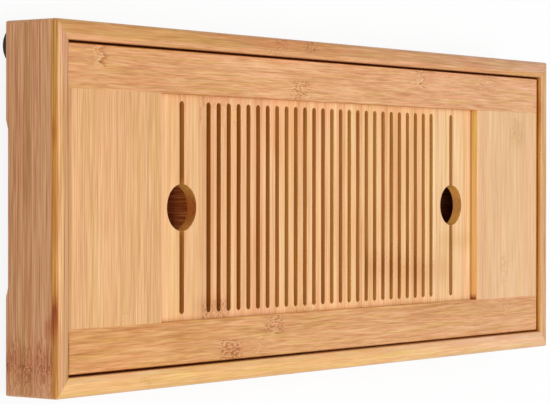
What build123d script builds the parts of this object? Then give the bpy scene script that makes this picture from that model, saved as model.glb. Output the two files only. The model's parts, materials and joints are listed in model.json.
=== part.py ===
"""Gongfu tea tray: a low bamboo tray with a lift-out slotted top over a water reservoir.

Millimetres. The tray lies flat: +X runs along its length, +Y across it, +Z up. The origin is on
the surface that the feet stand on, under the middle of the tray.
"""
import math
import os

from build123d import *

# Rim: four mitred members around the tray
tray_length = 477.0
tray_width = 185.0
rim_height = 34.0
side_wall = 10.0
end_wall = 8.6
rim_top_radius = 2.5
rim_inner_radius = 0.5
rim_bottom_radius = 0.8
rim_corner_radius = 2.0

# Shallow relief under the two end members, where the fingertips go
relief_length = 90.0
relief_ramp = 6.0
relief_depth = 1.8

# Loose splines hidden inside the four mitres
spline_thickness = 2.4
spline_width = 5.0
spline_height = 16.0
spline_clearance = 0.05

# Floor board, let into a rebate at the bottom of the rim
floor_thickness = 6.0
floor_rebate = 4.0
floor_clearance = 0.15

# Bearer strips glued along the inside of the rim, which carry the top
bearer_width = 12.0
bearer_clearance = 0.1

# Lift-out top: a frame of four boards around a slotted panel
deck_drop = 2.5
deck_thickness = 11.6
deck_side_gap = 1.05
deck_end_gap = 0.9
deck_edge_radius = 1.0
opening_length = 310.4
opening_width = 118.0

# Slotted panel, let into a rebate on the underside of the frame
grille_thickness = 6.3
grille_rebate = 6.0
grille_clearance = 0.15
slot_count = 26
slot_pitch = 8.78
slot_length = 111.3
slot_width = 3.6
end_slot_width = 3.8
end_slot_offset = 22.65
finger_hole_diameter = 24.5
slot_edge_radius = 0.4

# Dowels across the joints between the rails and the end boards
dowel_diameter = 5.0
dowel_length = 24.0
dowel_clearance = 0.03
dowel_inset = 16.9

# Rubber feet and their screws
foot_diameter = 21.0
foot_height = 4.8
foot_edge_radius = 1.2
foot_inset_x = 17.0
foot_inset_y = 12.0
back_left_foot_shift = 4.0
screw_head_diameter = 5.6
screw_head_height = 1.8
screw_head_depth = 0.8
screw_diameter = 2.5
screw_length = 11.0
screw_clearance = 0.05
screw_head_clearance = 0.3

# Heights
rim_base = foot_height
rim_top = rim_base + rim_height
floor_top = rim_base + floor_thickness
deck_top = rim_top - deck_drop
deck_base = deck_top - deck_thickness

# Plan sizes
inner_length = tray_length - 2 * end_wall
inner_width = tray_width - 2 * side_wall
deck_length = inner_length - 2 * deck_end_gap
deck_width = inner_width - 2 * deck_side_gap
rail_width = (deck_width - opening_width) / 2
end_board_width = (deck_length - opening_length) / 2
end_slot_x = (slot_count - 1) / 2 * slot_pitch + end_slot_offset
mitre_angle = math.degrees(math.atan2(side_wall, end_wall))

os.makedirs("parts", exist_ok=True)


def save(part, name):
    """Label a finished piece and write its STEP file."""
    part.label = name
    export_step(part, f"parts/{name}.step")


def foot_places():
    """Name and centre of each foot; the back left one sits a little nearer its end."""
    places = {}
    for end, side_x in (("left", -1), ("right", 1)):
        for side, side_y in (("front", -1), ("back", 1)):
            inset_x = foot_inset_x
            if (side, end) == ("back", "left"):
                inset_x -= back_left_foot_shift
            x = side_x * (tray_length / 2 - inset_x)
            y = side_y * (tray_width / 2 - foot_inset_y)
            places[f"foot_{side}_{end}"] = (x, y)
    return places


def corner_places(height):
    """Middle of each mitre, turned so that its local X runs along the mitre line."""
    places = []
    for side_x in (-1, 1):
        for side_y in (-1, 1):
            x = side_x * (tray_length - end_wall) / 2
            y = side_y * (tray_width - side_wall) / 2
            turn = side_x * side_y * mitre_angle
            places.append(Location((x, y, height), (0, 0, turn)))
    return places


def dowel_places():
    """Middle of each dowel, on the joint between a rail and an end board."""
    places = []
    for side_x in (-1, 1):
        for side_y in (-1, 1):
            for x in (opening_length / 2 + dowel_inset, deck_length / 2 - dowel_inset):
                y = side_y * opening_width / 2
                places.append(Location((side_x * x, y, deck_base + deck_thickness / 2)))
    return places


# Rim members: each has its own profile, with the floor's rebate, and a mitre at both ends
spline_middle = (floor_top + rim_top - rim_top_radius) / 2


def make_rim_member(name, inward, wall, length, corners):
    """One side of the rim; inward points from its outer face to the inside of the tray."""
    outer_middle = -inward * (tray_length if inward.X else tray_width) / 2
    profile_plane = Plane(
        origin=outer_middle + Vector(0, 0, rim_base),
        x_dir=inward,
        z_dir=inward.cross(Vector(0, 0, 1)),
    )
    with BuildPart() as member:
        with BuildSketch(profile_plane) as profile:
            with BuildLine():
                Polyline(
                    (0, 0),
                    (wall - floor_rebate, 0),
                    (wall - floor_rebate, floor_thickness),
                    (wall, floor_thickness),
                    (wall, rim_height),
                    (0, rim_height),
                    close=True,
                )
            make_face()
            fillet(profile.vertices().group_by(Axis.Y)[-1].sort_by(Axis.X)[-1], rim_inner_radius)
            fillet(profile.vertices().group_by(Axis.Y)[-1].sort_by(Axis.X)[0], rim_top_radius)
            fillet(profile.vertices().group_by(Axis.Y)[0].sort_by(Axis.X)[0], rim_bottom_radius)
        extrude(amount=length / 2, both=True)
        with BuildSketch(Plane.XY):
            Polygon(*corners, align=None)
            RectangleRounded(tray_length, tray_width, rim_corner_radius, mode=Mode.INTERSECT)
        extrude(amount=rim_top, mode=Mode.INTERSECT)
        with Locations(*corner_places(spline_middle)):
            Box(
                spline_thickness + 2 * spline_clearance,
                spline_width + 2 * spline_clearance,
                spline_height + 2 * spline_clearance,
                mode=Mode.SUBTRACT,
            )
        if inward.X:
            with BuildSketch(Plane.YZ):
                Polygon(
                    (-relief_length / 2, rim_base),
                    (-relief_length / 2 + relief_ramp, rim_base + relief_depth),
                    (relief_length / 2 - relief_ramp, rim_base + relief_depth),
                    (relief_length / 2, rim_base),
                    align=None,
                )
            extrude(amount=tray_length, both=True, mode=Mode.SUBTRACT)
    save(member.part, name)


for end, side_x in (("left", -1), ("right", 1)):
    outer_x = side_x * tray_length / 2
    inner_x = side_x * inner_length / 2
    make_rim_member(
        f"rim_{end}",
        Vector(-side_x, 0, 0),
        end_wall,
        tray_width,
        [
            (outer_x, -tray_width / 2),
            (outer_x, tray_width / 2),
            (inner_x, inner_width / 2),
            (inner_x, -inner_width / 2),
        ],
    )

for side, side_y in (("front", -1), ("back", 1)):
    outer_y = side_y * tray_width / 2
    inner_y = side_y * inner_width / 2
    make_rim_member(
        f"rim_{side}",
        Vector(0, -side_y, 0),
        side_wall,
        tray_length,
        [
            (-tray_length / 2, outer_y),
            (tray_length / 2, outer_y),
            (inner_length / 2, inner_y),
            (-inner_length / 2, inner_y),
        ],
    )

with BuildPart() as corner_splines:
    with Locations(*corner_places(spline_middle)):
        Box(spline_thickness, spline_width, spline_height)
save(corner_splines.part, "corner_splines")


# Floor board, with pilot holes for the foot screws
with BuildPart() as floor_board:
    with BuildSketch(Plane.XY.offset(rim_base)):
        Rectangle(
            inner_length + 2 * (floor_rebate - floor_clearance),
            inner_width + 2 * (floor_rebate - floor_clearance),
        )
        with Locations(*foot_places().values()):
            Circle(screw_diameter / 2 + screw_clearance, mode=Mode.SUBTRACT)
    extrude(amount=floor_thickness)
save(floor_board.part, "floor_board")


# Bearers: two long strips, and two short ones between them
bearer_height = deck_base - floor_top
screw_tip = screw_head_depth + screw_head_height + screw_length
screw_bite = screw_tip - floor_top + screw_head_clearance

for side, side_y in (("front", -1), ("back", 1)):
    with BuildPart() as bearer:
        with BuildSketch(Plane.XY.offset(floor_top)):
            with Locations((0, side_y * (inner_width / 2 - bearer_clearance - bearer_width / 2))):
                Rectangle(inner_length - 2 * bearer_clearance, bearer_width)
        extrude(amount=bearer_height)
        with BuildSketch(Plane.XY.offset(floor_top)):
            with Locations(*foot_places().values()):
                Circle(screw_diameter / 2 + screw_clearance)
        extrude(amount=screw_bite, mode=Mode.SUBTRACT)
    save(bearer.part, f"bearer_{side}")

for end, side_x in (("left", -1), ("right", 1)):
    with BuildPart() as bearer:
        with BuildSketch(Plane.XY.offset(floor_top)):
            with Locations((side_x * (inner_length / 2 - bearer_clearance - bearer_width / 2), 0)):
                Rectangle(bearer_width, inner_width - 2 * bearer_width - 4 * bearer_clearance)
        extrude(amount=bearer_height)
    save(bearer.part, f"bearer_{end}")


# Feet: rubber pads with a counterbored seat for the screw head
for name, place in foot_places().items():
    with BuildPart() as foot:
        with BuildSketch():
            with Locations(place):
                Circle(foot_diameter / 2)
        extrude(amount=foot_height)
        fillet(foot.edges().sort_by(Axis.Z)[0], foot_edge_radius)
        with BuildSketch():
            with Locations(place):
                Circle(screw_head_diameter / 2 + screw_head_clearance)
        extrude(amount=screw_head_depth + screw_head_height, mode=Mode.SUBTRACT)
        with BuildSketch():
            with Locations(place):
                Circle(screw_diameter / 2 + screw_clearance)
        extrude(amount=foot_height, mode=Mode.SUBTRACT)
    save(foot.part, name)

with BuildPart() as foot_screws:
    with BuildSketch(Plane.XY.offset(screw_head_depth)):
        with Locations(*foot_places().values()):
            Circle(screw_head_diameter / 2)
    extrude(amount=screw_head_height)
    with BuildSketch(Plane.XY.offset(screw_head_depth + screw_head_height)):
        with Locations(*foot_places().values()):
            Circle(screw_diameter / 2)
    extrude(amount=screw_length)
save(foot_screws.part, "foot_screws")


# The frame of the lift-out top as one ring, from which its four boards are cut
with BuildPart() as deck_ring:
    with BuildSketch(Plane.XY.offset(deck_base)):
        Rectangle(deck_length, deck_width)
        Rectangle(opening_length, opening_width, mode=Mode.SUBTRACT)
    extrude(amount=deck_thickness)
    deck_face = deck_ring.faces().sort_by(Axis.Z)[-1]
    fillet(deck_face.outer_wire().edges() + deck_face.inner_wires()[0].edges(), deck_edge_radius)
    with BuildSketch(Plane.XY.offset(deck_base)):
        Rectangle(opening_length + 2 * grille_rebate, opening_width + 2 * grille_rebate)
    extrude(amount=grille_thickness, mode=Mode.SUBTRACT)
    with Locations(*dowel_places()):
        Cylinder(
            dowel_diameter / 2 + dowel_clearance,
            dowel_length + 2 * dowel_clearance,
            rotation=(90, 0, 0),
            mode=Mode.SUBTRACT,
        )


def cut_deck_board(name, middle, length, width):
    """Cut one board of the frame out of the ring."""
    with BuildPart() as board:
        add(deck_ring.part)
        with BuildSketch(Plane.XY.offset(deck_base)):
            with Locations(middle):
                Rectangle(length, width)
        extrude(amount=deck_thickness, mode=Mode.INTERSECT)
    save(board.part, name)


for side, side_y in (("front", -1), ("back", 1)):
    rail_middle = (0, side_y * (opening_width + rail_width) / 2)
    cut_deck_board(f"deck_rail_{side}", rail_middle, deck_length, rail_width)

for end, side_x in (("left", -1), ("right", 1)):
    board_middle = (side_x * (opening_length + end_board_width) / 2, 0)
    cut_deck_board(f"deck_end_{end}", board_middle, end_board_width, opening_width)

with BuildPart() as deck_dowels:
    with Locations(*dowel_places()):
        Cylinder(dowel_diameter / 2, dowel_length, rotation=(90, 0, 0))
save(deck_dowels.part, "deck_dowels")


# Slotted panel: a row of slots, one slot through each finger hole, and a rebated border
with BuildPart() as grille_panel:
    with BuildSketch(Plane.XY.offset(deck_base)):
        Rectangle(
            opening_length + 2 * (grille_rebate - grille_clearance),
            opening_width + 2 * (grille_rebate - grille_clearance),
        )
        with GridLocations(slot_pitch, 0, slot_count, 1):
            SlotOverall(slot_length, slot_width, rotation=90, mode=Mode.SUBTRACT)
        with Locations((-end_slot_x, 0), (end_slot_x, 0)):
            SlotOverall(slot_length, end_slot_width, rotation=90, mode=Mode.SUBTRACT)
            Circle(finger_hole_diameter / 2, mode=Mode.SUBTRACT)
    extrude(amount=grille_thickness)
    slot_rims = grille_panel.faces().sort_by(Axis.Z)[-1].inner_wires()
    fillet([edge for rim in slot_rims for edge in rim.edges()], slot_edge_radius)
save(grille_panel.part, "grille_panel")
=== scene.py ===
"""Gongfu tea tray in bamboo: materials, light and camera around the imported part.

Metres, in the part's own frame: +X along the tray, +Y across it, +Z up. The shaders work in
millimetres of the same frame, so that strips, fibres and knots have their real size.
"""

import json

import bpy
from mathutils import Matrix, Vector


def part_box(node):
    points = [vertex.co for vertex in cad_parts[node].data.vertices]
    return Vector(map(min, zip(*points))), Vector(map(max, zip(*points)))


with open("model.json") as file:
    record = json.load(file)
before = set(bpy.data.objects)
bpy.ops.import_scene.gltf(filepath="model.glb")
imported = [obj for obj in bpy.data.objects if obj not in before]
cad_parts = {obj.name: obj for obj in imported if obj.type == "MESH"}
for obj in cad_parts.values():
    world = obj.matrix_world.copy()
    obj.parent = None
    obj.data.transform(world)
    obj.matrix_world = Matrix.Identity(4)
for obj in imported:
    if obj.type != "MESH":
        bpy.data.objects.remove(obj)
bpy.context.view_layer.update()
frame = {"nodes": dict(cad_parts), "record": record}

MM = 1000.0
scene = bpy.context.scene


# ---------------------------------------------------------------------------------------------
# Colours and shader graphs
# ---------------------------------------------------------------------------------------------
def srgb(r, g, b):
    """Linear RGBA of a colour written as display values from 0 to 255."""
    def linear(c):
        c /= 255.0
        return c / 12.92 if c <= 0.04045 else ((c + 0.055) / 1.055) ** 2.4
    return (linear(r), linear(g), linear(b), 1.0)


class Nodes:
    """Adds shader nodes to a tree and links them; values or sockets go in alike."""

    def __init__(self, tree):
        self.tree = tree
        tree.nodes.clear()

    def add(self, kind, **settings):
        node = self.tree.nodes.new(kind)
        for key, value in settings.items():
            setattr(node, key, value)
        return node

    def link(self, value, socket):
        if isinstance(value, bpy.types.NodeSocket):
            self.tree.links.new(value, socket)
        else:
            socket.default_value = value

    def fill(self, node, *values):
        """Set or link the node's first inputs in turn, and give its first output."""
        for socket, value in zip(node.inputs, values):
            self.link(value, socket)
        return node.outputs[0]

    def math(self, operation, *values):
        return self.fill(self.add("ShaderNodeMath", operation=operation), *values)


class Graph(Nodes):
    """The nodes of one material, around its Principled shader."""

    MIX_FACTOR, MIX_A, MIX_B, MIX_RESULT = 0, 6, 7, 2

    def __init__(self, name):
        self.material = bpy.data.materials.new(name)
        self.material.use_nodes = True
        super().__init__(self.material.node_tree)
        self.shader = self.add("ShaderNodeBsdfPrincipled")
        self.output = self.add("ShaderNodeOutputMaterial")
        self.link(self.shader.outputs[0], self.output.inputs["Surface"])

    def plus(self, a, b):
        return self.math("ADD", a, b)

    def minus(self, a, b):
        return self.math("SUBTRACT", a, b)

    def times(self, a, b):
        return self.math("MULTIPLY", a, b)

    def over(self, value, low, high, out_low=0.0, out_high=1.0):
        """Smooth step of value from low to high."""
        step = self.add("ShaderNodeMapRange", interpolation_type="SMOOTHSTEP")
        return self.fill(step, value, low, high, out_low, out_high)

    def scaled(self, value, low, high, out_low, out_high):
        """Straight ramp of value from low to high."""
        return self.fill(self.add("ShaderNodeMapRange"), value, low, high, out_low, out_high)

    def bell(self, value, width):
        """1 where value is 0, falling smoothly to 0 at plus or minus width."""
        return self.over(self.math("ABSOLUTE", value), 0.0, width, 1.0, 0.0)

    def vector(self, x, y, z):
        return self.fill(self.add("ShaderNodeCombineXYZ"), x, y, z)

    def split(self, vector):
        node = self.add("ShaderNodeSeparateXYZ")
        self.link(vector, node.inputs[0])
        return tuple(node.outputs)

    def place(self, shift=0.0):
        """The point in the tray's millimetres, moved by shift along x, and the surface's normal."""
        here = self.add("ShaderNodeTexCoord")
        scale = self.add("ShaderNodeVectorMath", operation="MULTIPLY_ADD")
        point = self.fill(scale, here.outputs["Object"], (MM, MM, MM), (shift, 0.0, 0.0))
        return point, self.split(here.outputs["Normal"])

    def noise(self, vector, detail=2.0, roughness=0.5, scale=1.0):
        node = self.add("ShaderNodeTexNoise", noise_dimensions="3D")
        self.link(vector, node.inputs["Vector"])
        node.inputs["Scale"].default_value = scale
        node.inputs["Detail"].default_value = detail
        node.inputs["Roughness"].default_value = roughness
        return node.outputs["Fac"]

    def random(self, vector):
        """Three random values per whole-number cell."""
        node = self.add("ShaderNodeTexWhiteNoise", noise_dimensions="3D")
        self.link(vector, node.inputs["Vector"])
        return self.split(node.outputs["Color"])

    def mix(self, factor, a, b, blend="MIX"):
        node = self.add("ShaderNodeMix", data_type="RGBA", blend_type=blend)
        self.link(factor, node.inputs[self.MIX_FACTOR])
        self.link(a, node.inputs[self.MIX_A])
        self.link(b, node.inputs[self.MIX_B])
        return node.outputs[self.MIX_RESULT]

    def stain(self, colour, factor, by):
        """The colour multiplied by another, as far as factor goes."""
        return self.mix(factor, colour, by, "MULTIPLY")

    def relief(self, height, strength, distance):
        """Bump from a height between 0 and 1; distance is in metres."""
        bump = self.add("ShaderNodeBump")
        bump.inputs["Strength"].default_value = strength
        bump.inputs["Distance"].default_value = distance
        self.link(height, bump.inputs["Height"])
        self.link(bump.outputs[0], self.shader.inputs["Normal"])


# ---------------------------------------------------------------------------------------------
# Bamboo
# ---------------------------------------------------------------------------------------------
# Colours that multiply the bamboo, and the one that its pale flecks are mixed with
PINK_LEAN = (1.03, 0.90, 0.88, 1.0)
STRAW_LEAN = (0.97, 1.01, 0.76, 1.0)
VESSEL = (0.80, 0.62, 0.44, 1.0)
KNOT_MARK = (0.65, 0.46, 0.33, 1.0)
FLAME_GRAIN = (0.62, 0.38, 0.27, 1.0)
GLUE = (0.68, 0.42, 0.22, 1.0)
PALE_FLECK = srgb(244, 208, 162)

# Levels of a random value or noise between which a mark grows from nothing to its full strength:
# a lean shows in whole lamellae, in single streaks and in broad patches
PINK_LEVELS = ((0.55, 0.95), (0.52, 0.66), (0.5, 0.7))
STRAW_LEVELS = ((0.45, 0.05), (0.48, 0.34), (0.5, 0.3))
BRIGHT_SPOT = (0.56, 0.66)
DARK_SPOT = (0.46, 0.38)
CHEVRON_BREAK = (0.42, 0.55)
VESSEL_LEVELS = (0.54, 0.68)
FLAME_LEVELS = (0.46, 0.60)
RAGGED_LEVELS = (0.45, 0.75)
# Levels of noise that vessels and flame grain change between, and their strength below and above
VESSEL_BREAK = (0.35, 0.65, 0.4, 1.0)
FLAME_BREAK = (0.42, 0.58, 0.35, 1.0)

# Patches of noise per mm along the grain, across it and upwards
RIPPLES = (0.35, 0.7, 0.2)
BENDS = (0.016, 0.03, 0.0)
SPOTS = (0.45, 1.35, 1.0)
BROAD_PATCHES = (0.013, 0.045, 0.06)
LEAN_PATCHES = (0.022, 0.14, 0.14)
# The lean's patches begin this many times the seed along, so that they don't follow the broad ones
LEAN_SHIFT = 3.1

# Length and width of the other streaks, as shares of the fibres'
MEDIUM_STREAK = (2.2, 3.2)
VESSEL_STREAK = (0.6, 0.65)
LEAN_STREAK = (2.5, 2.0)
# Length and width of the patches that break up flame grain, in mm
FLAME_PATCH = (26.0, 7.0)

# Half width of a joint between lamellae, how far it wanders in mm, and how many times per mm
SEAM_HALF = 0.3
SEAM_WANDER = 0.5
SEAM_WANDERS_PER_MM = 0.006
# How far along one lamella's streaks may be from its neighbour's, in streaks
LAMELLA_SHIFT = 50.0
# Bend of the grain in mm for a wave of 1
BEND_GAIN = 5.0

# Where the dark, middle and light colour stand on the scale that the grain adds up to
TONE_PLACES = (0.1, 0.5, 0.9)
# How far the normal's upright share fades at the ends of a range, and its outward share at a side
SLOPE_FADE = 0.08
FACING_FADE = (0.2, 0.6)

# The lacquer: shine under it, roughness of the coat, how far streaks make the wood smoother and
# rougher, and the height of the relief in metres
SHINE = 0.3
COAT_ROUGHNESS = 0.28
SMOOTHER, ROUGHER = 0.07, 0.13
RELIEF_HEIGHT = 0.0006

# A knot, in mm along the grain: how far its marks wander, how far off the grain bends, how steeply
# its chevrons slope, the half width of their line, and the place, half width and share of that
# line's echo and of the shade beside it
KNOT_WANDER = 5.0
BEND_REACH = 16.0
CHEVRON_SLOPE = 2.0
CHEVRON_HALF = 1.5
ECHO_AT, ECHO_HALF, ECHO_SHARE = -3.6, 1.1, 0.6
SHADE_AT, SHADE_HALF, SHADE_SHARE = 2.8, 2.2, 0.7
# From where to where along the grain the bend turns over, and its strength before and after
BEND_TURN = (-9.0, 2.0, 1.2, -0.5)
# Shares of a knot's half width and length: where it starts to fade sideways, where its flecks fade
# along the grain, and how far its flame grain reaches
KNOT_SIDE_FADE = 0.85
FLECK_FADE = (0.7, 1.1)
FLAME_REACH = 1.7

# The fainter knots that stand at about one height in many lamellae
CELL_KNOT_WANDER = 9.0
CELL_KNOT_DARK, CELL_KNOT_PALE = 7.0, 9.0


def tint(colour, amount=1.0, along=None, across=None, height=None, slope=None, facing=None, ragged=0.0,
         soft=0.25):
    """A colour that multiplies the bamboo in one region of a piece, in mm: along is (middle, half
    length), across and height are (low, high) with edges as soft as soft, slope is the range of the
    normal's upright share, facing is (axis, sign) of the normal, and ragged is how far the grain
    breaks up the region."""
    region = dict(along=along, across=across, height=height, slope=slope, facing=facing, ragged=ragged,
                  soft=soft)
    return dict(colour=(*colour, 1.0), amount=amount, region=region)


def knot(along, across, half, flecks=1.0, chevrons=0.6, length=9.0, flame=0.0, upright=False):
    """One node of the culm in one lamella: its place and half width in mm, and how strongly its
    dark and pale flecks, pale chevrons and reddish flame grain show. On an upright face, across
    is a height."""
    return dict(along=along, across=across, half=half, flecks=flecks, chevrons=chevrons,
                length=length, flame=flame, upright=upright)


class Bamboo(Graph):
    """Laminated bamboo in the tray's millimetres, with the grain along x or y."""

    def __init__(self, name, grain, seed):
        super().__init__(name)
        point, self.normal = self.place()
        x, y, self.z = self.split(point)
        self.along, self.across = (x, y) if grain == "x" else (y, x)
        self.upright = self.math("ABSOLUTE", self.normal[2])
        self.seed = seed
        self.ripple = self.minus(self.patches(RIPPLES, rise=seed, detail=3.0, roughness=0.6), 0.5)
        self.pale = 0.0
        self.dark = 0.0
        self.flame = 0.0

    def lamellae(self, strip, strip_origin, layer, layer_origin):
        """Which strip and layer a point is in, and the random values of that lamella."""
        drift_at = self.vector(self.times(self.along, SEAM_WANDERS_PER_MM), self.seed, 3.0)
        drift = self.minus(self.noise(drift_at), 0.5)
        across = self.plus(self.across, self.times(drift, SEAM_WANDER))
        strip_at = self.math("DIVIDE", self.minus(across, strip_origin), strip)
        layer_at = self.math("DIVIDE", self.minus(self.z, layer_origin), layer)
        self.tone, self.cast, self.phase = self.random(self.vector(
            self.math("FLOOR", strip_at), self.math("FLOOR", layer_at), self.seed))
        edges = []
        for at, width in ((strip_at, strip), (layer_at, layer)):
            edge = self.math("ABSOLUTE", self.minus(self.math("FRACT", at), 0.5))
            edges.append(self.over(edge, 0.5 - SEAM_HALF / width, 0.5))
        self.seam = self.math("MAXIMUM", *edges)

    def bend_grain(self, wave):
        """The slow bend of the grain, and the spots that the knots' marks are broken into."""
        self.bend = self.times(self.minus(self.patches(BENDS, rise=self.seed), 0.5), BEND_GAIN * wave)
        self.spots = self.patches(SPOTS, rise=self.seed, detail=1.0, roughness=0.6)
        self.bright_spots = self.over(self.spots, *BRIGHT_SPOT)
        self.dark_spots = self.over(self.spots, *DARK_SPOT)

    def mark_pale(self, marks, share):
        self.pale = self.plus(self.pale, self.times(marks, share))

    def mark_dark(self, marks, share):
        self.dark = self.plus(self.dark, self.times(marks, share))

    def add_knot(self, k):
        """Bend of the grain, and the pale and dark marks at one node of the culm."""
        off = self.plus(self.minus(self.along, k["along"]), self.times(self.ripple, KNOT_WANDER))
        side = self.minus(self.z if k["upright"] else self.across, k["across"])
        half = k["half"]
        inside = self.over(self.math("ABSOLUTE", side), half * KNOT_SIDE_FADE, half, 1.0, 0.0)
        fold = self.minus(self.math("PINGPONG", self.plus(side, half), half * 0.5), half * 0.25)
        near = self.times(self.bell(off, BEND_REACH), inside)
        turn = self.over(off, *BEND_TURN)
        self.bend = self.plus(self.bend, self.times(self.times(near, fold), turn))
        if k["flame"]:
            reach = self.times(self.bell(off, k["length"] * FLAME_REACH), inside)
            self.flame = self.plus(self.flame, self.times(reach, k["flame"]))
        fade_from, fade_to = (k["length"] * share for share in FLECK_FADE)
        patch = self.over(self.math("ABSOLUTE", off), fade_from, fade_to, 1.0, 0.0)
        patch = self.times(self.times(patch, inside), k["flecks"])
        self.mark_pale(patch, self.times(self.bright_spots, 0.7))
        self.mark_dark(patch, self.plus(self.times(self.dark_spots, 0.85), 0.15))
        if k["chevrons"]:
            self.add_chevrons(self.plus(off, self.times(fold, CHEVRON_SLOPE)), inside, k["chevrons"])

    def add_chevrons(self, chevron, inside, strength):
        """Two pale lines across a knot that follow its fold, and the shade beside them."""
        echo = self.times(self.bell(self.minus(chevron, ECHO_AT), ECHO_HALF), ECHO_SHARE)
        lines = self.plus(self.bell(chevron, CHEVRON_HALF), echo)
        lines = self.times(self.times(lines, self.over(self.spots, *CHEVRON_BREAK)), strength)
        self.mark_pale(lines, inside)
        shade = self.times(self.bell(self.minus(chevron, SHADE_AT), SHADE_HALF), strength * SHADE_SHARE)
        shade = self.times(shade, self.plus(self.times(self.dark_spots, 0.6), 0.4))
        self.mark_dark(shade, inside)

    def add_cell_knots(self, middle, spread, period, strength, *spans):
        """Fainter knots in every lamella, each up to half of spread off the middle and again after
        each period, within the spans across the grain."""
        off = self.minus(self.along, self.plus(middle, self.times(self.minus(self.phase, 0.5), spread)))
        off = self.math("WRAP", off, -period / 2, period / 2)
        off = self.plus(off, self.times(self.ripple, CELL_KNOT_WANDER))
        for low, high in spans:
            strength = self.times(self.times(self.over(self.across, low - 1.0, low), strength),
                                  self.over(self.across, high + 1.0, high))
        self.mark_dark(self.times(self.bell(off, CELL_KNOT_DARK), self.dark_spots), strength)
        self.mark_pale(self.times(self.bell(off, CELL_KNOT_PALE), self.bright_spots), strength)

    def patches(self, per_mm, shift=0.0, rise=0.0, detail=2.0, roughness=0.5):
        """Noise with so many patches per mm along the grain, across it and upwards, taken from shift
        further along and rise further up."""
        along, across, up = per_mm
        return self.noise(self.vector(
            self.plus(self.times(self.along, along), shift), self.times(self.across, across),
            self.plus(self.times(self.z, up), rise)), detail, roughness)

    def streaks(self, length, width, detail=1.0, roughness=0.5):
        """Noise drawn out along the grain: about how long and how wide its streaks are, in mm."""
        shift = self.times(self.phase, LAMELLA_SHIFT)
        return self.noise(self.vector(
            self.plus(self.times(self.along, 1.0 / length), shift),
            self.times(self.plus(self.across, self.bend), 1.0 / width),
            self.times(self.plus(self.z, self.times(self.bend, 0.5)), 1.0 / width)), detail, roughness)

    def region(self, along, across, height, slope, facing, ragged, soft):
        """How far a point lies in a tint's region, from 0 to 1."""
        mask = 1.0
        bands = ((self.across, across, soft), (self.z, height, soft), (self.upright, slope, SLOPE_FADE))
        for value, limits, edge in bands:
            if limits:
                mask = self.times(mask, self.over(value, limits[0] - edge, limits[0] + edge))
                mask = self.times(mask, self.over(value, limits[1] + edge, limits[1] - edge))
        if facing:
            axis, sign = facing
            mask = self.times(mask, self.over(self.times(self.normal[axis], sign), *FACING_FADE))
        if along:
            middle, half = along
            off = self.plus(self.minus(self.along, middle), self.times(self.ripple, half * ragged))
            reach = self.bell(off, half)
            if ragged:
                grainy = self.over(self.plus(self.vessels, self.times(reach, 0.35)), *RAGGED_LEVELS)
                reach = self.times(reach, self.plus(self.times(grainy, ragged), 1.0 - ragged))
            mask = self.times(mask, reach)
        return mask

    def draw_streaks(self, length, width):
        """The fine streaks of the fibres, and the others whose size follows from theirs."""
        self.fine = self.streaks(length, width, 2.0, 0.65)
        self.medium, self.vessels, self.lean = (
            self.streaks(length * length_share, width * width_share)
            for length_share, width_share in (MEDIUM_STREAK, VESSEL_STREAK, LEAN_STREAK))
        self.lines = self.times(self.over(self.vessels, *VESSEL_LEVELS),
                                self.over(self.medium, *VESSEL_BREAK))

    def shade(self, tones, *parts):
        """The colour between dark, middle and light that the parts add up to, each a strength and a
        value around 0.5."""
        value = 0.5
        for amount, source in parts:
            value = self.plus(value, self.times(self.minus(source, 0.5), amount))
        value = self.plus(value, self.times(self.pale, 0.3))
        dark, middle, light = TONE_PLACES
        ramp = self.add("ShaderNodeValToRGB")
        stops = ramp.color_ramp.elements
        stops[0].position = dark
        stops[1].position = light
        stops.new(middle)
        for stop, tone in zip(stops, tones):
            stop.color = tone
        return self.fill(ramp, value)

    def lean_colour(self, colour, hue, cloud):
        """Lean of the colour to pink and to straw."""
        drift = self.patches(LEAN_PATCHES, shift=LEAN_SHIFT * self.seed)
        for levels, by in ((PINK_LEVELS, PINK_LEAN), (STRAW_LEVELS, STRAW_LEAN)):
            in_lamella, in_streak, in_patch = levels
            share = self.times(self.over(self.cast, *in_lamella), 0.5)
            share = self.plus(share, self.over(self.lean, *in_streak))
            share = self.plus(share, self.times(self.over(drift, *in_patch), cloud))
            colour = self.stain(colour, self.times(share, hue), by)
        return colour

    def mark_colour(self, colour, streak, glue, flamed):
        """The dark vessels, the knots' flame grain, dark marks and pale flecks, and the joints."""
        colour = self.stain(colour, self.times(self.lines, streak), VESSEL)
        if flamed:
            patchy = self.over(self.streaks(*FLAME_PATCH), *FLAME_BREAK)
            flame = self.times(self.times(self.flame, patchy), self.over(self.vessels, *FLAME_LEVELS))
            colour = self.stain(colour, flame, FLAME_GRAIN)
        colour = self.stain(colour, self.dark, KNOT_MARK)
        colour = self.mix(self.math("MINIMUM", self.times(self.pale, 0.45), 0.8), colour, PALE_FLECK)
        return self.stain(colour, self.times(self.seam, glue), GLUE)

    def surface(self, roughness, coat, bump):
        """Roughness, lacquer and relief."""
        rough = self.scaled(self.plus(self.fine, self.times(self.lines, 0.5)), 0.2, 1.1,
                            roughness - SMOOTHER, roughness + ROUGHER)
        self.link(rough, self.shader.inputs["Roughness"])
        self.shader.inputs["Specular IOR Level"].default_value = SHINE
        self.shader.inputs["Coat Weight"].default_value = coat
        self.shader.inputs["Coat Roughness"].default_value = COAT_ROUGHNESS
        height = self.plus(self.times(self.fine, 0.6), self.times(self.medium, 0.4))
        height = self.minus(height, self.times(self.lines, 0.5))
        height = self.minus(height, self.times(self.seam, 0.5))
        height = self.plus(height, self.times(self.minus(self.pale, self.dark), 0.25))
        self.relief(height, bump, RELIEF_HEIGHT)


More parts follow.
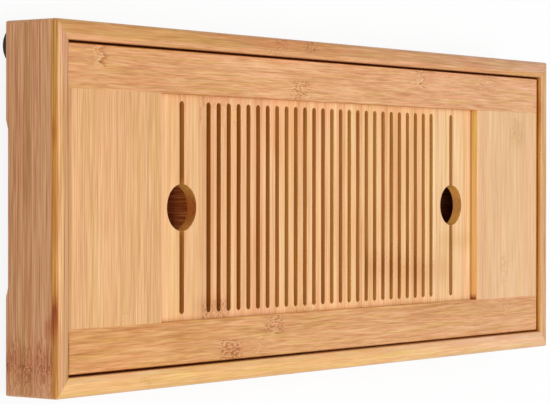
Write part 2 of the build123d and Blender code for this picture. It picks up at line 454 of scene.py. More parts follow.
def bamboo(name, grain, tones, strip, layer, seed, strip_origin=0.0, layer_origin=0.0,
           fibre=1.5, fibre_width=0.8, fibre_length=40.0, body=0.4, strip_contrast=0.2, blotch=0.4,
           hue=0.5, cloud=0.0, streak=0.3, wave=0.2, glue=0.1, knots=(), cell_knots=(), tints=(),
           bump=0.12, roughness=0.42, coat=0.05):
    """The material of one bamboo piece. tones are its dark, middle and light colour. strip and layer
    are the width and height of the lamellae, fibre_width and fibre_length those of the fine streaks,
    in mm. fibre, body, strip_contrast and blotch are the strengths of fine streaks, wider streaks,
    lamellae and broad patches; hue is how far single streaks and cloud how far broad patches lean to
    pink or straw, streak is the strength of dark vessels, glue that of the joints, wave that of the
    grain's bend. cell_knots are what add_cell_knots takes."""
    g = Bamboo(name, grain, seed)
    g.lamellae(strip, strip_origin, layer, layer_origin)
    g.bend_grain(wave)
    for k in knots:
        g.add_knot(k)
    if cell_knots:
        g.add_cell_knots(*cell_knots)
    g.draw_streaks(fibre_length, fibre_width)
    broad = g.patches(BROAD_PATCHES, shift=seed)
    colour = g.shade(tones, (strip_contrast, g.tone), (fibre, g.fine), (body, g.medium), (blotch, broad))
    colour = g.lean_colour(colour, hue, cloud)
    colour = g.mark_colour(colour, streak, glue, flamed=any(k["flame"] for k in knots))
    for t in tints:
        colour = g.stain(colour, g.times(g.region(**t["region"]), t["amount"]), t["colour"])
    g.link(colour, g.shader.inputs["Base Color"])
    g.surface(roughness, coat, bump)
    return g.material


# Steps from the middle of a bamboo to its dark and its light colour, and the brightest value
DARKER = (26, 30, 30)
LIGHTER = (19, 25, 28)
BRIGHTEST = 253


def shades(r, g, b, spread=1.0):
    """Dark, middle and light colour of one bamboo, around its middle in display values."""
    dark = (value - step * spread for value, step in zip((r, g, b), DARKER))
    light = (min(value + step * spread, BRIGHTEST) for value, step in zip((r, g, b), LIGHTER))
    return srgb(*dark), srgb(r, g, b), srgb(*light)


# ---------------------------------------------------------------------------------------------
# Places and colours that the finish of the bamboo pieces depends on, in mm
# ---------------------------------------------------------------------------------------------
rim_low, rim_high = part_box("rim_back")
# The softened corners leave the long members half a millimetre short of the tray's end faces
MEMBER_END = rim_high.x * MM
HALF_WIDTH = rim_high.y * MM
RIM_BASE = rim_low.z * MM
RIM_TOP = rim_high.z * MM
RIM_IN = rim_low.y * MM
end_low, end_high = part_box("rim_right")
RIM_END_IN, END_FACE = end_low.x * MM, end_high.x * MM
rail_low, rail_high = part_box("deck_rail_back")
RAIL_IN, RAIL_OUT = rail_low.y * MM, rail_high.y * MM
DECK_BASE, DECK_TOP = rail_low.z * MM, rail_high.z * MM
PANEL_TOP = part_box("grille_panel")[1].z * MM

# Widths of lamellae: the outer one of the long rim members and of the two end ones, a rail's two
# and the slotted panel's, which are half as wide as its slots are apart
RIM_SKIN = 7.0
LEFT_SKIN, RIGHT_SKIN = 4.1, 5.4
RAIL_STRIP = (RAIL_OUT - RAIL_IN) / 2
RAIL_INNER, RAIL_OUTER = RAIL_IN + 0.5 * RAIL_STRIP, RAIL_IN + 1.5 * RAIL_STRIP
PANEL_STRIP = 4.39
# Joints between lamellae stay this far off the faces, so that no face lies in a joint
OFF_FACE = 1.0
# A layer that is higher than a board of the loose top and begins below it, so that no joint shows
BOARD_LAYER = 20.0
BELOW_DECK = DECK_BASE - 2.0

# Ranges across the grain
BACK_OUTER = (HALF_WIDTH - RIM_SKIN, HALF_WIDTH + 1.0)
LEFT_OUTER = (-MEMBER_END - 1.0, -MEMBER_END + LEFT_SKIN)
LEFT_INNER_LINE = (-RIM_END_IN - 0.6, -RIM_END_IN + 2.0)
openings = {o["name"]: o["box_m"] for o in frame["record"]["physics"]["openings"]}
hole_low, hole_high = openings["finger_hole_right"]
HOLE_X = (hole_low[0] + hole_high[0]) / 2 * MM
HOLE_REACH = 14.0
RIGHT_HOLE = (HOLE_X - HOLE_REACH, HOLE_X + HOLE_REACH)
RIGHT_HOLE_FAR = (HOLE_X + 3.0, HOLE_X + HOLE_REACH)
LEFT_HOLE = (-HOLE_X - HOLE_REACH, -HOLE_X + HOLE_REACH)
UNDER_HOLES = (-26.0, 26.0)

# Middles and half lengths along the tray
RIGHT_END = (240.0, 260.0)
RAIL_RIGHT_END = (230.0, 300.0)
# The front gap's painted shade and grime stop short of the right end
FRONT_SHADE_AND_GRIME = (-180.0, 330.0)

# Ranges of height
EDGE_DEPTH = 3.4
EDGE_TOP = (RIM_TOP - EDGE_DEPTH, RIM_TOP + 1.0)
BELOW_DECK_TOP = (DECK_BASE - 1.0, DECK_TOP - 0.3)
# Height of the painted shade and grime on the loose top's edges
SHADE_AND_GRIME_HEIGHT = (DECK_TOP - 8.0, DECK_TOP + 4.0)

# Ranges of the normal's upright share, 0 on a wall and 1 on a level face; -1 and 2 leave an end open
SHEER = (-1.0, 0.4)
WALL = (-1.0, 0.5)
STEEP = (-1.0, 0.72)
EDGE_SIDE = (-1.0, 0.80)
BELOW_FACE = (-1.0, 0.85)
EASED = (0.5, 0.985)
GENTLE = (0.72, 2.0)
FLAT = (0.84, 2.0)

RED_STAIN = (0.68, 0.37, 0.09)
# Warmer walls towards the slotted panel: partly their cut colour, partly painted bounce light
WARM_WALL_AND_BOUNCE = (0.97, 0.82, 0.56)
# Painted shade, partly grime, in the gap around the loose top and on the top's edges
GAP_SHADE_AND_GRIME = (0.48, 0.21, 0.08)
EDGE_SHADE_AND_GRIME = (0.66, 0.40, 0.21)
# Painted shade on the rims' inner edges, and a painted contact shadow along the left one
INNER_EDGE_SHADE = (0.66, 0.50, 0.34)
HAIRLINE_SHADOW = (0.46, 0.31, 0.18)
# Walls of the slots: painted shade, partly the brown of the cut, painted lighter towards the right where
# more of the lit wall shows: (from, to) in mm along the tray, and the tint
SLOT_WALL_SHADE_AND_LIGHT = (
    ((-160.0, -120.0), (0.79, 0.62, 0.26)),
    ((-120.0, -80.0), (0.66, 0.43, 0.12)),
    ((-80.0, -50.0), (0.74, 0.54, 0.19)),
    ((-50.0, 0.0), (0.83, 0.69, 0.34)),
    ((0.0, 120.0), (0.90, 0.80, 0.44)),
    ((120.0, 160.0), (0.98, 0.99, 0.62)),
)


def inner_edge_shade(inner, outward, amount):
    """Painted shade on the eased inner edge of a rim member: its inner face and the side it lies on."""
    span = sorted((inner + outward * 0.8, inner - outward * 1.0))
    return tint(INNER_EDGE_SHADE, amount, across=span, height=EDGE_TOP, slope=(0.05, 0.97))


def gap_shade_and_grime(axis, sign, along=None):
    """Painted shade, partly grime, on the walls of the gap around the loose top, below the top's surface.
    """
    return tint(GAP_SHADE_AND_GRIME, along=along, height=BELOW_DECK_TOP, slope=WALL, facing=(axis, sign), soft=0.5)


def top_edge_shade_and_grime(axis, sign, along=None):
    """Painted shade, partly grime, on the outer wall and lower half of the eased edge of a board of the
    loose top.
    """
    return tint(EDGE_SHADE_AND_GRIME, along=along, height=SHADE_AND_GRIME_HEIGHT, slope=EDGE_SIDE, facing=(axis, sign),
                soft=3.0)


def warm_wall_and_bounce(axis, sign):
    """Warmer wall of a board of the loose top towards the slotted panel: partly its cut colour, partly
    painted bounce light.
    """
    return tint(WARM_WALL_AND_BOUNCE, 0.9, slope=WALL, facing=(axis, sign))


# ---------------------------------------------------------------------------------------------
# Looks of the bamboo pieces
# ---------------------------------------------------------------------------------------------
rim_common = dict(layer=6.2, layer_origin=RIM_BASE - OFF_FACE, bump=0.14, roughness=0.44, hue=0.9,
                  streak=0.4)
rail_common = dict(grain="x", strip=RAIL_STRIP + OFF_FACE, layer=6.8, layer_origin=DECK_BASE - OFF_FACE,
                   fibre=1.7, fibre_width=0.75, fibre_length=21.0, body=0.55, strip_contrast=0.15,
                   streak=0.6, hue=0.75, cloud=0.4, wave=0.5, bump=0.14)
board_common = dict(grain="y", strip=6.1, strip_origin=0.8, layer=BOARD_LAYER, layer_origin=BELOW_DECK,
                    fibre_length=38.0, hue=0.45, glue=0.05, wave=0.1)
bearer_common = dict(tones=shades(214, 162, 112), strip=6.0, layer=7.0, layer_origin=RIM_BASE,
                     roughness=0.55, coat=0.0)

looks = {
    "rim_left": bamboo(
        "bamboo_rim_left", "y", shades(224, 170, 120), seed=3.0,
        strip=LEFT_SKIN + OFF_FACE, strip_origin=-MEMBER_END - OFF_FACE,
        fibre=3.0, fibre_width=0.75, fibre_length=50.0, body=0.6, strip_contrast=0.4,
        knots=(knot(-76.0, RIM_BASE + 15.0, 17.0, flecks=0.25, chevrons=0.0, length=9.5, flame=1.1,
                    upright=True),),
        tints=(
            # The end face, darker partly in its own colour and partly as painted shade, its warmer rounded
            # edge, and lighter and darker stretches of both
            tint((0.895, 0.80, 0.80), height=(0.0, RIM_TOP - EDGE_DEPTH), slope=SHEER, facing=(0, -1)),
            tint((0.94, 0.76, 0.33), height=(RIM_TOP - 4.0, RIM_TOP + 3.0), slope=(-1.0, 0.84),
                 facing=(0, -1), soft=1.3),
            tint((0.84, 0.88, 1.0), along=(84.0, 50.0), height=EDGE_TOP, slope=STEEP),
            tint((1.24, 1.46, 1.50), along=(76.0, 46.0), height=(RIM_TOP - 5.6, RIM_TOP - 3.0),
                 slope=SHEER, facing=(0, -1), soft=0.6),
            tint((0.90, 0.80, 0.70), along=(0.0, 30.0), height=EDGE_TOP, slope=STEEP, ragged=0.4),
            # Outer and inner lamella of the top face; the outer one lighter, partly in its own colour and
            # partly as a painted highlight
            tint((1.20, 1.26, 1.28), across=LEFT_OUTER, slope=FLAT),
            tint((0.82, 0.80, 0.81), along=(90.0, 80.0), across=LEFT_OUTER, slope=FLAT),
            tint((0.76, 0.65, 0.62), along=(-76.0, 42.0),
                 across=(-END_FACE + 2.7, -MEMBER_END + LEFT_SKIN), slope=FLAT),
            tint((0.775, 0.756, 0.685), across=(-MEMBER_END + LEFT_SKIN, -RIM_END_IN + 1.0),
                 slope=GENTLE),
            # Stains on the rounded edge: a brown one, and the red-brown one with its darker core
            tint((0.84, 0.66, 0.42), along=(37.0, 14.0), height=EDGE_TOP, slope=STEEP, ragged=0.5),
            tint(RED_STAIN, along=(-53.0, 17.0), height=EDGE_TOP, slope=BELOW_FACE, ragged=0.2),
            tint((0.62, 0.46, 0.30), along=(-57.0, 17.0), height=(RIM_TOP - 2.7, RIM_TOP - 1.9),
                 slope=BELOW_FACE, ragged=0.2),
            # Cooler stretch of the top face towards the back
            tint((1.02, 0.92, 1.18), along=(88.0, 55.0),
                 across=(-END_FACE + 2.3, -END_FACE + 7.5), slope=GENTLE),
            # Ragged dark marks in the red-brown stain and below it
            tint((0.72, 0.48, 0.32), along=(-49.0, 9.0), height=(RIM_TOP - 3.0, RIM_TOP + 1.0),
                 slope=STEEP, ragged=0.8),
            tint((0.80, 0.60, 0.45), along=(-58.0, 12.0), height=(RIM_TOP - 8.0, RIM_TOP - 3.0),
                 ragged=1.0, soft=1.2),
            # Shade around the knot on the end face
            tint((0.95, 0.84, 0.76), along=(-76.0, 16.0), height=(0.0, RIM_TOP - 3.0), slope=WALL),
            # Painted contact shadow along the inner edge, darkest near the front; then painted shade,
            # partly grime, in the gap
            tint(HAIRLINE_SHADOW, along=(-20.0, 150.0), across=LEFT_INNER_LINE, height=EDGE_TOP, soft=0.1),
            tint((0.30, 0.16, 0.08), along=(-72.0, 26.0), across=LEFT_INNER_LINE, height=EDGE_TOP,
                 soft=0.1),
            gap_shade_and_grime(0, 1)),
        **rim_common),
    "rim_right": bamboo(
        "bamboo_rim_right", "y", shades(222, 170, 124), seed=8.0,
        strip=RIGHT_SKIN + OFF_FACE, strip_origin=MEMBER_END - RIGHT_SKIN,
        cell_knots=(31.0, 12.0, 205.0, 0.5),
        tints=(
            # Outer end face; the inner wall, warmer, partly its cut colour and partly painted bounce
            # light, with a painted shadow line along the loose top and darker in one stretch; painted
            # shade, partly grime, in the gap
            tint((0.86, 0.82, 0.80), height=EDGE_TOP, slope=STEEP, facing=(0, 1)),
            tint((0.97, 0.88, 0.86), slope=WALL, facing=(0, 1)),
            tint((1.20, 1.10, 0.60), slope=WALL, facing=(0, -1)),
            tint((0.70, 0.58, 0.42), height=(DECK_TOP - 2.0, DECK_TOP + 0.7), slope=WALL,
                 facing=(0, -1), soft=0.5),
            tint((0.80, 0.62, 0.45), along=(60.0, 26.0), slope=WALL, facing=(0, -1), ragged=0.6),
            gap_shade_and_grime(0, -1)),
        **rim_common),
    "rim_back": bamboo(
        "bamboo_rim_back", "x", shades(226, 169, 117), seed=14.0,
        strip=RIM_SKIN + OFF_FACE, strip_origin=HALF_WIDTH - RIM_SKIN,
        wave=0.6, fibre_length=24.0, cloud=0.7,
        knots=(knot(-27.0, HALF_WIDTH - RIM_SKIN / 2, RIM_SKIN / 2, flecks=0.8, chevrons=0.5, length=7.0),
               knot(-55.0, HALF_WIDTH - RIM_SKIN / 2, RIM_SKIN / 2, flecks=0.5, chevrons=0.4, length=6.0),
               knot(-64.0, RIM_IN + 1.5, 1.5, flecks=0.5, chevrons=0.3, length=7.0)),
        tints=(
            # Outer lamella: yellower on the left, paler on the right, redder by the knots; outer side
            tint((0.81, 0.75, 0.70), across=BACK_OUTER, height=EDGE_TOP),
            tint((1.0, 0.98, 0.84), along=(-190.0, 170.0), across=BACK_OUTER),
            tint((1.08, 1.22, 1.80), along=(240.0, 200.0), across=BACK_OUTER),
            tint((1.02, 1.04, 1.14), along=(60.0, 160.0)),
            tint((1.0, 0.90, 0.84), along=(-35.0, 55.0), across=BACK_OUTER),
            tint((0.90, 0.84, 0.82), slope=WALL, facing=(1, 1)),
            # Painted shade on the inner edge, and painted shade, partly grime, in the gap
            inner_edge_shade(RIM_IN, 1, 0.4), gap_shade_and_grime(1, -1)),
        **rim_common),
    "rim_front": bamboo(
        "bamboo_rim_front", "x", shades(246, 201, 135), seed=21.0,
        strip=RIM_SKIN + OFF_FACE, strip_origin=-HALF_WIDTH - OFF_FACE,
        wave=0.3, fibre=1.0, fibre_length=24.0, cloud=0.5,
        knots=(knot(-172.0, -HALF_WIDTH + RIM_SKIN / 2, RIM_SKIN / 2, flecks=0.3, chevrons=0.3,
                    length=5.0),),
        tints=(
            # Inner lamella, the paler right end, the outer side, and the inner wall's warm right end
            tint((0.875, 0.765, 0.77), across=(-HALF_WIDTH + RIM_SKIN, 0.0), height=EDGE_TOP),
            tint((1.02, 1.08, 1.55), along=RIGHT_END),
            tint((0.84, 0.69, 0.74), slope=WALL, facing=(1, -1)),
            tint((1.0, 0.80, 0.36), along=RIGHT_END, height=BELOW_DECK_TOP, slope=WALL,
                 facing=(1, 1)),
            # Painted shade on the inner edge, and painted shade, partly grime, in the gap
            inner_edge_shade(-RIM_IN, -1, 0.3), gap_shade_and_grime(1, 1, FRONT_SHADE_AND_GRIME)),
        **rim_common),
    "deck_rail_back": bamboo(
        "bamboo_rail_back", tones=shades(233, 176, 125), seed=31.0, strip_origin=RAIL_IN - OFF_FACE,
        knots=(knot(-204.0, RAIL_OUTER, RAIL_STRIP / 2, flecks=0.3, chevrons=2.0, length=8.0),
               knot(-33.0, RAIL_INNER, RAIL_STRIP / 2, flecks=0.8, chevrons=0.3, length=11.0),
               knot(89.0, RAIL_OUTER, RAIL_STRIP / 2, flecks=0.3, chevrons=1.3, length=8.0),
               knot(166.0, RAIL_OUTER, RAIL_STRIP / 2, flecks=0.3, chevrons=0.2, length=12.0)),
        tints=(
            # Darker left end, greyer right end
            tint((0.90, 0.83, 0.74), along=(-215.0, 170.0)),
            tint((0.99, 1.00, 1.12), along=RAIL_RIGHT_END),
            # Painted shade, partly grime, on the edges along the gap; the wall towards the slotted panel
            # warmer, partly its cut colour and partly painted bounce light
            top_edge_shade_and_grime(1, 1), top_edge_shade_and_grime(0, 1), top_edge_shade_and_grime(0, -1), warm_wall_and_bounce(1, -1)),
        **rail_common),
    "deck_rail_front": bamboo(
        "bamboo_rail_front", tones=shades(225, 167, 114), seed=37.0, strip_origin=-RAIL_OUT - OFF_FACE,
        knots=(knot(-97.0, -RAIL_OUTER, RAIL_STRIP / 2, flecks=1.4, chevrons=0.4, length=10.0),
               knot(-58.0, -RAIL_INNER, RAIL_STRIP / 2, flecks=0.9, chevrons=0.4, length=10.0),
               knot(-72.0, -RAIL_OUTER, RAIL_STRIP / 2, flecks=0.1, chevrons=0.5, length=8.0),
               knot(191.0, -RAIL_INNER, RAIL_STRIP / 2, flecks=0.3, chevrons=0.2, length=6.0)),
        tints=(
            # Darker left end with a painted contact shadow at its edge, greyer right end, and the shade
            # around two knots
            tint((0.96, 0.88, 0.75), along=(-200.0, 150.0)),
            tint((0.99, 0.99, 1.08), along=RAIL_RIGHT_END),
            tint((0.50, 0.30, 0.11), along=(-228.3, 2.6), across=(-RAIL_OUT, -RAIL_IN - 4.0),
                 slope=GENTLE, soft=6.0),
            tint((0.90, 0.80, 0.79), along=(-95.0, 22.0), across=(-RAIL_OUT - 2.0, -RAIL_OUTER + 4.0),
                 ragged=0.3, soft=2.0),
            # Painted shade, partly grime, on the edges along the gap
            top_edge_shade_and_grime(1, -1, FRONT_SHADE_AND_GRIME), top_edge_shade_and_grime(0, 1), top_edge_shade_and_grime(0, -1),
            # Outer wall warmer towards the right, inner wall paler as painted light
            tint((1.0, 0.85, 0.50), along=RIGHT_END, slope=EDGE_SIDE, facing=(1, -1)),
            tint((1.15, 1.15, 1.0), slope=(-1.0, 0.985), facing=(1, 1))),
        **rail_common),
    "deck_end_left": bamboo(
        "bamboo_end_left", tones=shades(233, 180, 127), seed=43.0, strip_contrast=0.08, fibre=1.6,
        body=0.15, cell_knots=(-74.0, 40.0, 260.0, 0.3),
        tints=(
            # Painted shade along the outer edge beside the rim, and a darker strip beside the slotted
            # panel
            tint((0.80, 0.70, 0.58), across=(-MEMBER_END, -RIM_END_IN + 4.6), slope=GENTLE, soft=0.8),
            tint((0.95, 0.93, 0.92), across=(-169.0, -158.0), slope=GENTLE, soft=1.5),
            # Painted shade, partly grime, on the edge along the gap; the wall towards the slotted panel
            # warmer, partly its cut colour and partly painted bounce light
            top_edge_shade_and_grime(0, -1), warm_wall_and_bounce(0, 1)),
        **board_common),
    "deck_end_right": bamboo(
        "bamboo_end_right", tones=shades(238, 193, 147, 0.8), seed=47.0, strip_contrast=0.15, fibre=1.2,
        fibre_width=1.25, body=0.3,
        knots=(knot(47.0, 203.0, 8.0, flecks=0.35, chevrons=0.1, length=9.0),
               knot(-41.0, 188.0, 6.0, flecks=0.35, chevrons=0.0, length=10.0)),
        tints=(
            # Outer edge, with painted shade, partly grime, along the gap and painted shade on the top face
            # beside it
            top_edge_shade_and_grime(0, 1),
            tint((0.93, 0.82, 0.62), across=(RIM_END_IN - 3.0, RIM_END_IN + 1.0), slope=GENTLE, soft=1.0),
            # Wall towards the slotted panel: paler as painted light, with a painted shadow at its foot, a
            # yellower stretch and a dark mark
            tint((1.17, 1.21, 0.82), slope=WALL, facing=(0, -1)),
            tint((0.62, 0.52, 0.40), height=(0.0, PANEL_TOP + 0.9), slope=WALL, facing=(0, -1)),
            tint((0.92, 0.98, 0.78), along=(50.0, 50.0), slope=WALL, facing=(0, -1)),
            tint((0.32, 0.15, 0.08), along=(-59.0, 4.5), height=(0.0, DECK_TOP - 1.0), slope=WALL,
                 facing=(0, -1)),
            # Shade around the knot, and the eased edge paler as a painted highlight
            tint((0.93, 0.90, 0.84), 0.9, along=(43.0, 16.0), across=(198.0, 214.0), ragged=0.3, soft=3.0),
            tint((1.12, 1.10, 1.08), slope=EASED, facing=(0, -1))),
        **board_common),
    "grille_panel": bamboo(
        "bamboo_grille", "y", shades(243, 189, 136), strip=PANEL_STRIP, layer=BOARD_LAYER,
        layer_origin=BELOW_DECK, seed=53.0, strip_contrast=0.28, fibre=1.4, fibre_width=0.75,
        fibre_length=45.0, body=0.3, hue=0.55, streak=0.2, wave=0.05, glue=0.0,
        cell_knots=(-32.0, 15.0, 400.0, 0.35, (46.0, 116.0)),
        knots=(knot(-56.0, -104.0, 13.0, flecks=1.1, chevrons=0.0, length=7.0),
               knot(-57.0, -25.0, 14.0, flecks=0.6, chevrons=0.0, length=3.0),
               knot(56.0, -98.0, 20.0, flecks=0.3, chevrons=0.0, length=3.0)),
        tints=(
            # Eased edges, lighter partly from wear and partly as a painted highlight, and the lighter and
            # darker stretches of the top face
            tint((1.08, 1.10, 1.10), slope=EASED),
            tint((1.0, 0.90, 0.87), along=(42.0, 30.0), across=(-62.0, -20.0), slope=GENTLE),
            tint((0.96, 0.95, 0.95), across=(-136.0, -111.0), slope=GENTLE),
            tint((0.96, 0.91, 0.94), across=(-115.0, -52.0), slope=GENTLE, soft=4.0),
            tint((1.02, 1.05, 1.08), across=(-200.0, -137.0), slope=GENTLE),
            tint((1.01, 1.11, 1.22), across=(112.0, 200.0), slope=GENTLE),
            tint((0.94, 0.97, 0.93), across=(-124.0, -111.0), slope=GENTLE),
            # Shade around a knot, the stain across a few slats, and two patches by the right hole
            tint((0.92, 0.87, 0.86), along=(-52.0, 9.0), across=(-123.0, -90.0), ragged=0.4),
            tint((0.92, 0.84, 0.79), along=(-36.0, 14.0), across=(40.0, 76.0), ragged=0.5, soft=3.0),
            tint((0.92, 0.84, 0.78), along=(-40.0, 14.0), across=(76.0, 116.0), ragged=0.5, soft=3.0),
            tint((0.84, 0.72, 0.60), along=(-37.0, 24.0), across=(38.0, 96.0), slope=WALL, soft=6.0),
            tint((0.90, 0.82, 0.74), along=(-38.0, 18.0), across=(117.0, 131.0), ragged=0.5, soft=1.5),
            tint((0.92, 0.88, 0.78), along=(-22.0, 11.0), across=(118.0, 156.0), ragged=0.5, soft=1.5),
            # Walls of the slots and of the two finger holes, with painted shade and painted light
            *(tint(colour, across=span, slope=WALL) for span, colour in SLOT_WALL_SHADE_AND_LIGHT),
            tint((1.06, 0.89, 0.80), along=(0.0, 24.0), across=RIGHT_HOLE, slope=WALL),
            *(tint((1.20, 1.22, 0.95), along=(middle, 6.5), across=RIGHT_HOLE_FAR, slope=WALL)
              for middle in (9.0, -9.0)),
            tint((0.92, 0.62, 0.64), along=(-1.0, 12.0), across=LEFT_HOLE, slope=WALL, ragged=0.2),
            tint((1.38, 1.62, 1.90), along=(11.0, 6.0), across=LEFT_HOLE, slope=WALL),
            tint((1.38, 1.52, 1.80), along=(-11.0, 5.0), across=LEFT_HOLE, slope=WALL))),
    "floor_board": bamboo(
        "bamboo_floor", "x", shades(176, 94, 40, 1.4), strip=18.0, layer=3.0,
        layer_origin=RIM_BASE - OFF_FACE, seed=61.0, fibre=2.4, fibre_width=1.2, fibre_length=30.0,
        streak=0.6, roughness=0.5, cell_knots=(20.0, 60.0, 260.0, 0.5),
        tints=(
            # Painted shade where the floor shows through the two finger holes, and a paler patch
            tint((0.50, 0.58, 0.80), along=(160.0, 40.0), across=UNDER_HOLES, soft=8.0),
            tint((0.58, 0.48, 0.40), along=(-121.0, 15.0), across=UNDER_HOLES, soft=8.0),
            tint((1.35, 1.60, 0.95), along=(-100.0, 12.0), across=UNDER_HOLES, soft=8.0))),
    "deck_dowels": bamboo(
        "bamboo_dowels", "y", shades(220, 170, 120), strip=9.0, layer=9.0, layer_origin=BELOW_DECK,
        seed=89.0, roughness=0.6, coat=0.0),
    "corner_splines": bamboo(
        "bamboo_splines", "x", shades(208, 154, 104), strip=9.0, layer=20.0, layer_origin=RIM_BASE,
        seed=97.0, roughness=0.6, coat=0.0),
}
END_BEARER_KNOTS = (20.0, 90.0, 210.0, 0.5)
LONG_BEARER_KNOTS = (-30.0, 140.0, 220.0, 0.5)
for side, grain, seed, cell_knots in (("left", "y", 71.0, END_BEARER_KNOTS),
                                      ("right", "y", 73.0, END_BEARER_KNOTS),
                                      ("front", "x", 79.0, LONG_BEARER_KNOTS),
                                      ("back", "x", 83.0, LONG_BEARER_KNOTS)):
    looks[f"bearer_{side}"] = bamboo(f"bamboo_bearer_{side}", grain, seed=seed, cell_knots=cell_knots,
                                     **bearer_common)


# ---------------------------------------------------------------------------------------------
# Rubber feet and zinc-plated screws
# ---------------------------------------------------------------------------------------------
RUBBER, RUBBER_DUST = srgb(34, 23, 15), srgb(46, 33, 23)
RUBBER_WORN, RUBBER_PITS = srgb(104, 92, 80), srgb(26, 18, 13)
ZINC, ZINC_YELLOWED, ZINC_DULL = srgb(184, 184, 180), srgb(204, 198, 176), srgb(120, 118, 112)


def rubber(name, shift):
    """Dark moulded rubber with a little dust, worn paler on the face it stands on. shift is how far
    along its grain is taken from, in mm."""
    g = Graph(name)
    at, normal = g.place(shift)
    grain = g.noise(at, 4.0, scale=2.2)
    dust = g.noise(at, 3.0, scale=0.22)
    worn = g.over(normal[2], -0.4, -0.95)
    colour = g.mix(g.over(dust, 0.35, 0.7), RUBBER, RUBBER_DUST)
    colour = g.mix(g.times(worn, 0.35), colour, RUBBER_WORN)
    colour = g.mix(g.scaled(grain, 0.3, 0.7, 0.0, 0.5), colour, RUBBER_PITS)
    g.link(colour, g.shader.inputs["Base Color"])
    g.link(g.scaled(grain, 0.3, 0.7, 0.62, 0.82), g.shader.inputs["Roughness"])
    g.relief(grain, 0.3, 0.0002)
    return g.material


def plated_steel(name):
    """Zinc-plated steel, cloudy and yellowed in places."""
    g = Graph(name)
    at = g.place()[0]
    cloud = g.noise(at, 5.0, scale=0.9)
    fine = g.noise(at, 2.0, scale=6.0)
    colour = g.mix(g.over(cloud, 0.35, 0.7), ZINC, ZINC_YELLOWED)
    colour = g.mix(g.scaled(fine, 0.45, 0.75, 0.0, 0.35), colour, ZINC_DULL)
    g.link(colour, g.shader.inputs["Base Color"])
    g.shader.inputs["Metallic"].default_value = 1.0
    g.link(g.scaled(cloud, 0.3, 0.7, 0.28, 0.48), g.shader.inputs["Roughness"])
    g.relief(fine, 0.2, 0.0001)
    return g.material


feet = [name for name in sorted(frame["nodes"]) if name.startswith("foot_") and name != "foot_screws"]
for index, name in enumerate(feet):
    looks[name] = rubber(f"rubber_{name}", 17.0 * index)
looks["foot_screws"] = plated_steel("zinc_screws")

for name, obj in frame["nodes"].items():
    for material_slot in obj.material_slots:
        material_slot.material = looks[name]


# ---------------------------------------------------------------------------------------------
# Floor, light and camera
# ---------------------------------------------------------------------------------------------
WHITE = (1.0, 1.0, 1.0, 1.0)
FLOOR_HALF = 6.0
FLOOR_COLOUR = (0.80, 0.80, 0.80, 1.0)
FLOOR_ROUGHNESS = 0.9
# Share of the floor's look that is its own glow, where it is seen directly, and the glow's strength
FLOOR_GLOW = 0.86
GLOW_STRENGTH = 1.03
AMBIENT_STRENGTH = 0.38
BACKDROP_STRENGTH = 1.0

floor_mesh = bpy.data.meshes.new("floor")
floor_corners = [(-FLOOR_HALF, -FLOOR_HALF, 0), (FLOOR_HALF, -FLOOR_HALF, 0),
                 (FLOOR_HALF, FLOOR_HALF, 0), (-FLOOR_HALF, FLOOR_HALF, 0)]
floor_mesh.from_pydata(floor_corners, [], [(0, 1, 2, 3)])
floor = bpy.data.objects.new("floor", floor_mesh)
scene.collection.objects.link(floor)

ground = Graph("pale_floor")
ground.shader.inputs["Base Color"].default_value = FLOOR_COLOUR
ground.shader.inputs["Roughness"].default_value = FLOOR_ROUGHNESS
ground.shader.inputs["Specular IOR Level"].default_value = 0.0
rays = ground.add("ShaderNodeLightPath")
direct = ground.math("MAXIMUM", rays.outputs["Is Camera Ray"], rays.outputs["Is Glossy Ray"])
glow = ground.add("ShaderNodeEmission")
glow.inputs["Strength"].default_value = GLOW_STRENGTH
blend = ground.fill(ground.add("ShaderNodeMixShader"), ground.times(direct, FLOOR_GLOW),
                    ground.shader.outputs[0], glow.outputs[0])
ground.link(blend, ground.output.inputs["Surface"])
floor_mesh.materials.append(ground.material)

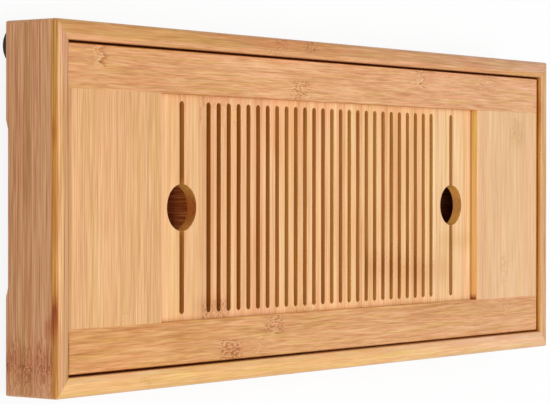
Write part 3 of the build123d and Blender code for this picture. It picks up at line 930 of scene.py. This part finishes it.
# The backdrop is white where it is seen, and lights the tray more weakly than it looks
world = bpy.data.worlds.new("studio")
scene.world = world
world.use_nodes = True
sky = Nodes(world.node_tree)
rays = sky.add("ShaderNodeLightPath")
seen = sky.math("MAXIMUM", rays.outputs["Is Camera Ray"], rays.outputs["Is Transmission Ray"])
ambient = sky.fill(sky.add("ShaderNodeBackground"), WHITE, AMBIENT_STRENGTH)
backdrop = sky.fill(sky.add("ShaderNodeBackground"), WHITE, BACKDROP_STRENGTH)
blend = sky.fill(sky.add("ShaderNodeMixShader"), seen, ambient, backdrop)
sky.link(blend, sky.add("ShaderNodeOutputWorld").inputs["Surface"])

LIT_POINT = Vector((0.0, 0.0, 0.03))


def soft_box(name, place, size, power):
    """Square white area lamp that points at the tray; size in metres, power in watts."""
    light = bpy.data.lights.new(name, "AREA")
    light.shape = "RECTANGLE"
    light.size = light.size_y = size
    light.energy = power
    lamp = bpy.data.objects.new(name, light)
    scene.collection.objects.link(lamp)
    lamp.location = place
    aim = LIT_POINT - Vector(place)
    lamp.rotation_euler = aim.to_track_quat("-Z", "Y").to_euler()


soft_box("key", (0.1, -0.1, 2.4), size=2.2, power=38.0)
soft_box("fill", (-2.0, -0.2, 1.5), size=1.6, power=10.0)

# The camera looks down on the tray from beyond its left end, with the tray's width upright
FOCAL_PIXELS = 2263.2588
FRAME_WIDTH = 550.0
SENSOR = 36.0
NEAREST, FARTHEST = 0.05, 50.0
EYE = Vector((-1.05577552, 0.00922112, 0.77299373))
RIGHT = Vector((0.59387997, 0.00082328, 0.80455323))
UP = Vector((0.00376293, 0.9999857, -0.00380087))
camera_data = bpy.data.cameras.new("camera")
camera_data.sensor_fit = "HORIZONTAL"
camera_data.sensor_width = SENSOR
camera_data.lens = FOCAL_PIXELS / FRAME_WIDTH * SENSOR
camera_data.clip_start = NEAREST
camera_data.clip_end = FARTHEST
camera = bpy.data.objects.new("camera", camera_data)
scene.collection.objects.link(camera)
back = RIGHT.cross(UP).normalized()
camera.matrix_world = Matrix((
    (RIGHT.x, UP.x, back.x, EYE.x),
    (RIGHT.y, UP.y, back.y, EYE.y),
    (RIGHT.z, UP.z, back.z, EYE.z),
    (0.0, 0.0, 0.0, 1.0)))
scene.camera = camera
scene.view_settings.view_transform = "Standard"
